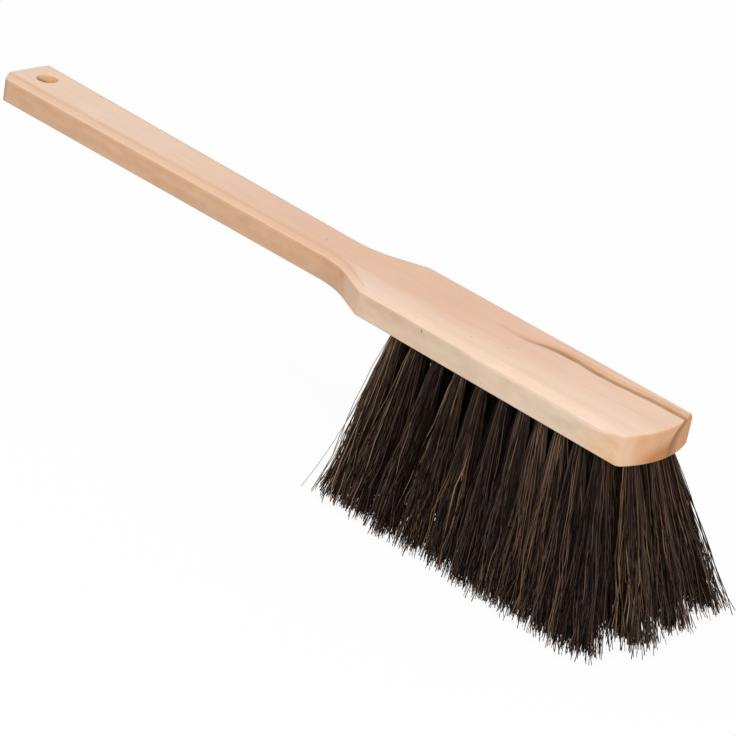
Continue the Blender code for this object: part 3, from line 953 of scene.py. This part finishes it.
def tree_with(name, **sockets):
    """An empty Geometry Nodes tree with its named inputs of each kind, and their signals."""
    tree = bpy.data.node_groups.new(name, "GeometryNodeTree")
    for in_out in ("INPUT", "OUTPUT"):
        tree.interface.new_socket("Geometry", in_out=in_out, socket_type="NodeSocketGeometry")
    for kind, labels in sockets.items():
        for label in labels:
            tree.interface.new_socket(label, in_out="INPUT", socket_type="NodeSocket" + kind)
    outputs = tree.nodes.new("NodeGroupInput").outputs
    return tree, {socket.name: Signal(socket) for socket in outputs}


def finish_tree(geometry, material):
    """Ends a tree: its instances are made real, then they get their material."""
    geometry = node("GeometryNodeRealizeInstances", {0: geometry})
    geometry = node("GeometryNodeSetMaterial", {0: geometry, "Material": material})
    node("NodeGroupOutput", {0: geometry})


def by_label(sizes):
    """A property group's values under the labels that the trees' inputs share with them."""
    return {prop.name: getattr(sizes, prop.identifier) for prop in sizes.bl_rna.properties}


def grown(helper, tree, values):
    """The mesh that the tree makes on a helper object with these inputs."""
    modifier = helper.modifiers.new(tree.name, "NODES")
    modifier.node_group = tree
    for item in tree.interface.items_tree:
        if item.in_out == "INPUT" and item.name in values:
            modifier[item.identifier] = values[item.name]
    return baked(helper)


# Tufts


def chance(given, draw, number, low=0.0, high=1.0):
    """A random value for each fibre or each leg of a fibre."""
    inputs = {2: low, 3: high, "ID": number, "Seed": given["Seed"] + draw}
    return node("FunctionNodeRandomValue", inputs, 1, data_type="FLOAT")


def chance_way(given, draw, number):
    """A random level offset for each leg."""
    inputs = {0: (-1, -1, -1), 1: (1, 1, 1), "ID": number, "Seed": given["Seed"] + draw}
    return node("FunctionNodeRandomValue", inputs, data_type="FLOAT_VECTOR") * (1, 1, 0)


def fibre_lines(tree, given):
    """A line for each fibre, set over the bundle's half section like seeds in a sunflower."""
    index = node("GeometryNodeInputIndex", tree=tree)
    from_middle = ((index + 0.5) / given["Fibres"]).calc("SQRT")
    angle = index * GOLDEN_ANGLE + given["Seed"]
    section = joined(from_middle * angle.calc("COSINE"), abs(from_middle * angle.calc("SINE")))
    points = node("GeometryNodePoints", {0: given["Fibres"], 1: section})
    line = node("GeometryNodeCurvePrimitiveLine", {0: (0, 0, -1), 1: (0, 0, 1)}, tree=tree)
    line = node("GeometryNodeResampleCurve", {0: line, "Count": 2 * LEG_POINTS + 1})
    lines = node("GeometryNodeInstanceOnPoints", {"Points": points, "Instance": line})
    return node("GeometryNodeRealizeInstances", {0: lines})


class FibrePoint:
    """A point of a fibre's line: x and y are its place in the bundle, z runs from tip to tip."""

    def __init__(self, tree):
        x, self.y, run = parted(node("GeometryNodeInputPosition", tree=tree))
        self.in_bundle = joined(x, self.y * run.calc("SIGN"))
        self.fibre = node("GeometryNodeCurveOfPoint", tree=tree)
        self.leg = self.fibre * 2.0 + run.calc("GREATER_THAN", 0.0)
        from_fold = abs(run)
        self.round_fold = ranged(from_fold, 0, FOLD_SHARE, 0, math.pi / 2)
        self.up_hole = ranged(from_fold, FOLD_SHARE, HOLE_SHARE, 1, 0)
        self.down = ranged(from_fold, HOLE_SHARE, 1)


class Clump:
    """The cell of a pattern that a place is in: its middle and three random values."""

    def __init__(self, given, place):
        shift = given["Seed"] * SEED_SHIFT
        shift = joined(shift, shift)
        inputs = {"Vector": place + shift, "Scale": CLUMP_SCALE}
        cells = node("ShaderNodeTexVoronoi", inputs, voronoi_dimensions="2D")
        self.middle = cells["Position"] - shift
        self.chances = parted(cells["Color"])


def share_reached(given, point, clump):
    """How far towards the tip's full reach a point is; ragged tips fall short of it."""
    shortening = point.in_bundle.calc("DISTANCE", clump.middle) * OFF_CLUMP_SHORTENING
    shortening += chance(given, TIP_DRAW, point.leg) ** SHORT_TIP_POWER * TIP_SHORTENING
    shortening += clump.chances[0] * CLUMP_SHORTENING
    return point.down * (1.0 - shortening * (given["Raggedness"] / given["Reach"]))


def beside_middle(given, point, clump, share):
    """The level offset from the tuft's middle, fanned out and drawn together in clumps."""
    drawn = share**CLUMPING_POWER * given["Clumping"]
    inputs = {0: drawn, 4: point.in_bundle, 5: clump.middle}
    along, across = parted(node("ShaderNodeMix", inputs, 1, data_type="VECTOR"))[:2]
    early = given["Early spread"]
    eased = share.calc("SQRT") * early + share * (1.0 - early)
    radius = given["Bundle radius"]
    along *= (given["Spread along"] - radius) * eased + radius
    across *= (given["Spread across"] - radius) * eased + radius
    return joined(along, across * point.round_fold.calc("SINE"))


def wandering(given, point, clump, share):
    """How far a leg strays from its straight way: its own way, a slow wave and its lock's way."""
    own_way = chance_way(given, WAY_DRAW, point.leg)
    wave = noise(joined(point.leg * LEG_SHIFT, share * WAVES, given["Seed"]), 1.0)["Color"]
    wave = (wave - (0.5, 0.5, 0.5)) * (WAVE_WIDTH, WAVE_WIDTH, 0)
    lock_way = joined(clump.chances[1] * 2.0 - 1.0, clump.chances[2] * 2.0 - 1.0)
    wander = ((own_way + wave) * given["Wander"] + lock_way * given["Lock wander"]) * share

    # The few loose fibres also stand off outwards
    loose = ranged(chance(given, STRAY_DRAW, point.leg), 1.0 - LOOSE_FIBRES, 1.0)
    outward = (point.in_bundle.calc("NORMALIZE") + own_way).calc("NORMALIZE")
    return wander + outward * (loose * given["Stray"] * share**STRAY_POWER)


def fibre_path(tree, given):
    """Where each point of a fibre goes: round the fold, down the hole and out to its tip."""
    point = FibrePoint(tree)
    clump = Clump(given, point.in_bundle)
    share = share_reached(given, point, clump)
    lean = given["Tip centre"] - given["Mouth"]
    nested = point.y * given["Bundle radius"] * point.round_fold.calc("COSINE")
    height = point.up_hole * given["Fold height"] + nested
    path = given["Mouth"] + lean * share + beside_middle(given, point, clump, share)
    path += (lean * -1.0).calc("NORMALIZE") * height
    path += wandering(given, point, clump, share)
    return path.calc("MAXIMUM", given["Lowest"]).calc("MINIMUM", given["Highest"])


def tuft_tree():
    """Fibres folded double over the anchor, fanned out and drawn together in pointed clumps."""
    tree, given = tree_with(
        "folded_tuft",
        Int=("Fibres", "Seed"),
        Float=("Fibre radius", "Bundle radius", "Fold height", "Spread along", "Spread across",
               "Early spread", "Raggedness", "Clumping", "Wander", "Lock wander", "Stray", "Reach"),
        Vector=("Mouth", "Tip centre", "Lowest", "Highest"),
        Material=("Material",),
    )
    path = fibre_path(tree, given)
    curves = node("GeometryNodeSetPosition", {0: fibre_lines(tree, given), "Position": path})

    # The tone is one draw a fibre, taken for its second leg, and one a tuft, whose points now
    # lie within one cell
    fibre = node("GeometryNodeCurveOfPoint", tree=tree)
    x, y = parted(node("GeometryNodeInputPosition", tree=tree))[:2]
    own_tone = chance(given, TONE_DRAW, fibre * 2.0 + 1.0)
    tone = own_tone * OWN_TONE + Clump(given, joined(x, y)).chances[1] * TUFT_TONE
    curves = node("GeometryNodeStoreNamedAttribute", {
        0: curves, "Name": "fibre_tone", "Value": tone,
    }, data_type="FLOAT", domain="POINT")
    tilt = chance(given, TILT_DRAW, fibre, 0.0, math.tau)
    curves = node("GeometryNodeSetCurveTilt", {0: curves, "Tilt": tilt})
    thickness = chance(given, THICKNESS_DRAW, fibre, THINNEST, THICKEST)
    section = node("GeometryNodeCurvePrimitiveCircle", {"Resolution": 3, "Radius": 1.0}, tree=tree)
    fibres = node("GeometryNodeCurveToMesh", {
        0: curves, "Profile Curve": section, "Fill Caps": True,
        "Scale": given["Fibre radius"] * thickness,
    })
    finish_tree(node("GeometryNodeSetShadeSmooth", {0: fibres}), given["Material"])
    return tree


def fibre_colour(tone, place, finishes):
    """The colour of each fibre's tone, which fades in patches along the light ones."""
    dark, brown, golden = map(
        Vector, (finishes.dark_fibre, finishes.brown_fibre, finishes.golden_fibre))
    stops = (
        (0.0, dark * 0.25), (0.34, dark), (0.56, dark.lerp(brown, 0.26)), (0.725, brown),
        (0.84, brown.lerp(golden, 0.28)), (0.91, brown.lerp(golden, 0.60)), (0.965, golden),
    )
    ramp = node("ShaderNodeValToRGB", {0: tone})
    elements = ramp.socket.node.color_ramp.elements
    while len(elements) < len(stops):
        elements.new(0.5)
    for element, (position, colour) in zip(elements, stops):
        element.position = position
        element.color = (*colour, 1.0)
    patches = rise(noise(place * (60.0, 60.0, 22.0)), 0.52, 0.38)
    colour = mixed(patches * rise(tone, 0.80, 0.86), ramp, mixed(0.7, ramp, dark))
    hue = node("ShaderNodeTexWhiteNoise", {"W": tone}, noise_dimensions="1D")["Value"]
    hue_colour = node("ShaderNodeCombineColor", {
        0: ranged(hue, 0, 1, 0.88, 1.16), 1: 1.0, 2: ranged(hue, 0, 1, 0.80, 1.10),
    })
    return mixed(1.0, colour, hue_colour, "MULTIPLY")


def fibre_shade(place):
    """How bright the tufts are: painted shade in the inner rows, and lighter towards both ends."""
    x, y = parted(place)[:2]
    # Painted shade: the inner rows darkened, where the outer rows shade them
    inner = rise(abs(y), 0.0155, 0.013) * rise(x, 0.060, 0.080) * rise(x, 0.190, 0.168)
    shade = ranged(inner, 0, 1, 0.72, 0.16) * ranged(x, 0.070, 0.118, 2.0, 0.86)
    return shade * ranged(x, 0.130, 0.170, 1.0, 1.22)


def fibre_material(finishes):
    """Dark plant fibre: mostly brown-black, with a few brown and golden strands."""
    material, tree, shader_inputs = new_material("plant_fibre", 0.5, 0.09)
    tone = node("ShaderNodeAttribute", tree=tree, attribute_name="fibre_tone")["Fac"]
    place = node("ShaderNodeTexCoord", tree=tree)["Object"]
    colour = fibre_colour(tone, place, finishes)
    # The colour times the tufts' painted shade and brightening towards their ends
    feed(shader_inputs["Base Color"], mixed(1.0, colour, fibre_shade(place), "MULTIPLY"))
    feed(shader_inputs["Roughness"], ranged(tone, 0, 1, 0.42, 0.60))
    return material


# Anchors


def anchor_tree():
    """A flat wire with rounded edges across every hole, standing along the hole's own axis."""
    tree, given = tree_with(
        "wire_anchors", Float=("Length", "Wire height", "Wire thickness", "Edge radius"),
        Material=("Material",))
    half = given["Length"] / 2.0
    line = node("GeometryNodeCurvePrimitiveLine", {0: joined(half * -1.0), 1: joined(half)})
    sides = {"Width": given["Wire thickness"], "Height": given["Wire height"]}
    section = node("GeometryNodeCurvePrimitiveQuadrilateral", sides)
    edges = {0: section, "Radius": given["Edge radius"], "Count": 2}
    section = node("GeometryNodeFilletCurve", edges, mode="POLY")
    wire = node("GeometryNodeCurveToMesh", {0: line, "Profile Curve": section, "Fill Caps": True})
    axis = node(
        "GeometryNodeInputNamedAttribute", {"Name": "hole_axis"}, tree=tree,
        data_type="FLOAT_VECTOR")
    axes = {0: axis, 1: (1, 0, 0)}
    upright = node("FunctionNodeAxesToRotation", axes, primary_axis="Z", secondary_axis="X")
    wires = node("GeometryNodeInstanceOnPoints", {
        "Points": given["Geometry"], "Instance": wire, "Rotation": upright,
    })
    finish_tree(wires, given["Material"])
    return tree


def anchor_points(sizes, board_length):
    """A point for each anchor with the axis of its hole."""
    level = sizes.hole_depth - sizes.wire_setback - sizes.wire_height / 2
    bm = bmesh.new()
    hole_axis = bm.verts.layers.float_vector.new("hole_axis")
    for row, place, mouth, tip in tuft_places(sizes, board_length):
        up = (mouth - tip).normalized()
        bm.verts.new(mouth + up * level)[hole_axis] = up
    return mesh_from(bm, "anchors")


def wire_material(finishes):
    """Drawn and tinned steel wire with faint draw marks along it."""
    material, tree, shader_inputs = new_material("anchor_wire", 0.35, 0.5)
    feed(shader_inputs["Metallic"], 1.0)
    place = node("ShaderNodeTexCoord", tree=tree)["Object"]
    marks = noise(place * (200.0, 9000.0, 9000.0))
    colour = mixed(marks, Vector(finishes.wire) * 0.75, finishes.wire)
    feed(shader_inputs["Base Color"], colour)
    feed(shader_inputs["Roughness"], ranged(marks, 0.2, 0.8, 0.28, 0.46))
    return material


# Stage


def camera_turn(stage):
    """The camera's axes in the world from its bearing, its height and its roll."""
    sin_a, cos_a = math.sin(stage.azimuth), math.cos(stage.azimuth)
    sin_e, cos_e = math.sin(stage.elevation), math.cos(stage.elevation)
    back = Vector((sin_a * cos_e, -cos_a * cos_e, sin_e))
    level = Vector((cos_a, sin_a, 0))
    above = back.cross(level)
    right = level * math.cos(stage.roll) + above * math.sin(stage.roll)
    return Matrix((right, back.cross(right), back)).transposed()


def seen_directly(tree):
    """1 for rays from the camera, in a mirror or through glass, 0 for light on the object."""
    rays = node("ShaderNodeLightPath", tree=tree)
    seen = rays["Is Camera Ray"].calc("MAXIMUM", rays["Is Glossy Ray"])
    return seen.calc("MAXIMUM", rays["Is Transmission Ray"])


def set_world(stage):
    world = bpy.data.worlds.new("studio")
    world.use_nodes = True
    bpy.context.scene.world = world
    inputs = world.node_tree.nodes["Background"].inputs
    feed(inputs["Color"], (1, 1, 1))
    feed(inputs["Strength"], ranged(seen_directly(world.node_tree), 0, 1, stage.sky, 1.0))


def floor_material(stage, finishes):
    """White where the camera sees it, with the object's soft shadow; plain pale elsewhere."""
    material = bpy.data.materials.new("pale_floor")
    material.use_nodes = True
    tree = material.node_tree
    tree.nodes.clear()
    lit = node("ShaderNodeBsdfDiffuse", {0: (1 - stage.floor_glow,) * 3}, tree=tree)
    glow = node("ShaderNodeEmission", {0: (1, 1, 1), 1: stage.floor_glow}, tree=tree)
    shown = node("ShaderNodeAddShader", {0: lit, 1: glow})
    plain = node("ShaderNodeBsdfDiffuse", {0: finishes.floor}, tree=tree)
    surface = node("ShaderNodeMixShader", {0: seen_directly(tree), 1: plain, 2: shown})
    node("ShaderNodeOutputMaterial", {0: surface})
    return material


def add_floor(material):
    bm = bmesh.new()
    bmesh.ops.create_grid(bm, x_segments=1, y_segments=1, size=FLOOR_SIZE)
    mesh = mesh_from(bm, "floor")
    mesh.materials.append(material)
    helper_object("floor", mesh)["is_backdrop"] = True


def add_lamp(name, place, power):
    """A soft round lamp that faces the broom."""
    light = bpy.data.lights.new(name, "AREA")
    light.shape = "DISK"
    light.size = LAMP_SIZE
    light.energy = power
    lamp = helper_object(name, light)
    lamp.location = place
    aim = Vector((0.0, 0.0, BRISTLE_REACH)) - lamp.location
    lamp.rotation_euler = aim.to_track_quat("-Z", "Y").to_euler()


def add_camera(stage):
    lens = bpy.data.cameras.new("photo_view")
    lens.lens = stage.focal_length
    lens.sensor_width = SENSOR_WIDTH
    lens.sensor_fit = "HORIZONTAL"
    lens.clip_start = CLIP_START
    camera = helper_object("photo_view", lens)
    place = Matrix.Translation(BOARD_ORIGIN + Vector(stage.camera_place))
    camera.matrix_world = place @ camera_turn(stage).to_4x4()
    bpy.context.scene.camera = camera


# Operators


class HANDBROOM_OT_board(bpy.types.Operator):
    """Builds the beech board with its hollow chamfer, hanging hole and tuft holes"""

    bl_idname = "hand_broom.board"
    bl_label = "Beech board"

    def execute(self, context):
        scene = context.scene
        mesh = drilled_board(scene.broom_board, scene.broom_tufts)
        material = beech_material(scene.broom_finishes, scene.broom_board)
        piece_from("board", mesh, material, "beech_body", slot="beech")
        return {"FINISHED"}


class HANDBROOM_OT_tufts(bpy.types.Operator):
    """Grows the fibre tufts, each folded in its own hole"""

    bl_idname = "hand_broom.tufts"
    bl_label = "Fibre tufts"

    def execute(self, context):
        scene = context.scene
        sizes = scene.broom_tufts
        tree = tuft_tree()
        material = fibre_material(scene.broom_finishes)
        low, high = (Vector(corner) for corner in CAD_BOX)
        values = by_label(sizes)
        values["Bundle radius"] = sizes.bundle_radius - sizes.fibre_radius
        values["Fold height"] = sizes.hole_depth - sizes.wire_setback - sizes.wire_height / 3
        values["Reach"] = BRISTLE_REACH
        values["Lowest"] = low - BOX_MARGIN + Vector((0, 0, sizes.fibre_radius))
        values["Highest"] = high + BOX_MARGIN
        values["Material"] = material
        places = tuft_places(sizes, scene.broom_board.length)
        for number, (row, place, mouth, tip) in enumerate(places):
            ending = f"{row}_{place:02d}"
            if f"tuft_{ending}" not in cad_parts:
                raise RuntimeError(f"no CAD tuft for {ending}")
            inner = 1 < row < len(TUFTS_PER_ROW)
            values["Early spread"] = sizes.inner_early_spread if inner else sizes.early_spread
            values["Mouth"] = mouth
            values["Tip centre"] = tip
            values["Seed"] = sizes.seed + SEED_STEP * number
            helper = helper_object("tuft", bpy.data.meshes.new("bristles_" + ending))
            mesh = grown(helper, tree, values)
            piece_from("bristles_" + ending, mesh, material, "tuft_" + ending, slot="bristle")
        return {"FINISHED"}


class HANDBROOM_OT_anchors(bpy.types.Operator):
    """Sets a flat wire anchor across the fold of every tuft"""

    bl_idname = "hand_broom.anchors"
    bl_label = "Wire anchors"

    def execute(self, context):
        scene = context.scene
        sizes = scene.broom_tufts
        material = wire_material(scene.broom_finishes)
        values = by_label(sizes)
        values["Length"] = sizes.hole_diameter + 2 * sizes.wire_bite
        values["Edge radius"] = sizes.wire_thickness / 3
        values["Material"] = material
        points = helper_object("anchors", anchor_points(sizes, scene.broom_board.length))
        piece_from("anchors", grown(points, anchor_tree(), values), material)
        return {"FINISHED"}


class HANDBROOM_OT_stage(bpy.types.Operator):
    """Sets up the pale floor, the soft light and the camera"""

    bl_idname = "hand_broom.stage"
    bl_label = "Stage"

    def execute(self, context):
        stage = context.scene.broom_stage
        set_world(stage)
        add_floor(floor_material(stage, context.scene.broom_finishes))
        add_lamp("key_lamp", KEY_PLACE, stage.key_power)
        add_lamp("fill_lamp", FILL_PLACE, stage.fill_power)
        add_camera(stage)
        context.scene.view_settings.view_transform = "Standard"
        return {"FINISHED"}


class HANDBROOM_PT_build(bpy.types.Panel):
    """Lists the steps that build the broom"""

    bl_idname = "HANDBROOM_PT_build"
    bl_label = "Hand Broom"
    bl_space_type = "VIEW_3D"
    bl_region_type = "UI"
    bl_category = "Hand Broom"

    def draw(self, context):
        for step in STEPS:
            self.layout.operator(step.bl_idname)
        for group in (context.scene.broom_board, context.scene.broom_tufts):
            column = self.layout.column(align=True)
            for name in group.bl_rna.properties.keys():
                if name not in ("rna_type", "name"):
                    column.prop(group, name)


STEPS = (HANDBROOM_OT_board, HANDBROOM_OT_tufts, HANDBROOM_OT_anchors, HANDBROOM_OT_stage)
GROUPS = {
    "broom_board": BoardSizes,
    "broom_tufts": TuftSizes,
    "broom_finishes": Finishes,
    "broom_stage": StageSettings,
}


def register():
    for group in GROUPS.values():
        bpy.utils.register_class(group)
    for name, group in GROUPS.items():
        setattr(bpy.types.Scene, name, PointerProperty(type=group))
    for step in STEPS + (HANDBROOM_PT_build,):
        bpy.utils.register_class(step)


def unregister():
    for step in (HANDBROOM_PT_build,) + STEPS[::-1]:
        bpy.utils.unregister_class(step)
    for name in GROUPS:
        delattr(bpy.types.Scene, name)
    for group in GROUPS.values():
        bpy.utils.unregister_class(group)


def main():
    register()
    bpy.ops.hand_broom.stage()
    bpy.ops.hand_broom.board()
    bpy.ops.hand_broom.tufts()
    bpy.ops.hand_broom.anchors()
    boxes = {"cad": CAD_BOX, "visual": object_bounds()}
    sizes = {name: [list(map(float, corner)) for corner in box] for name, box in boxes.items()}


if __name__ == "__main__":
    main()
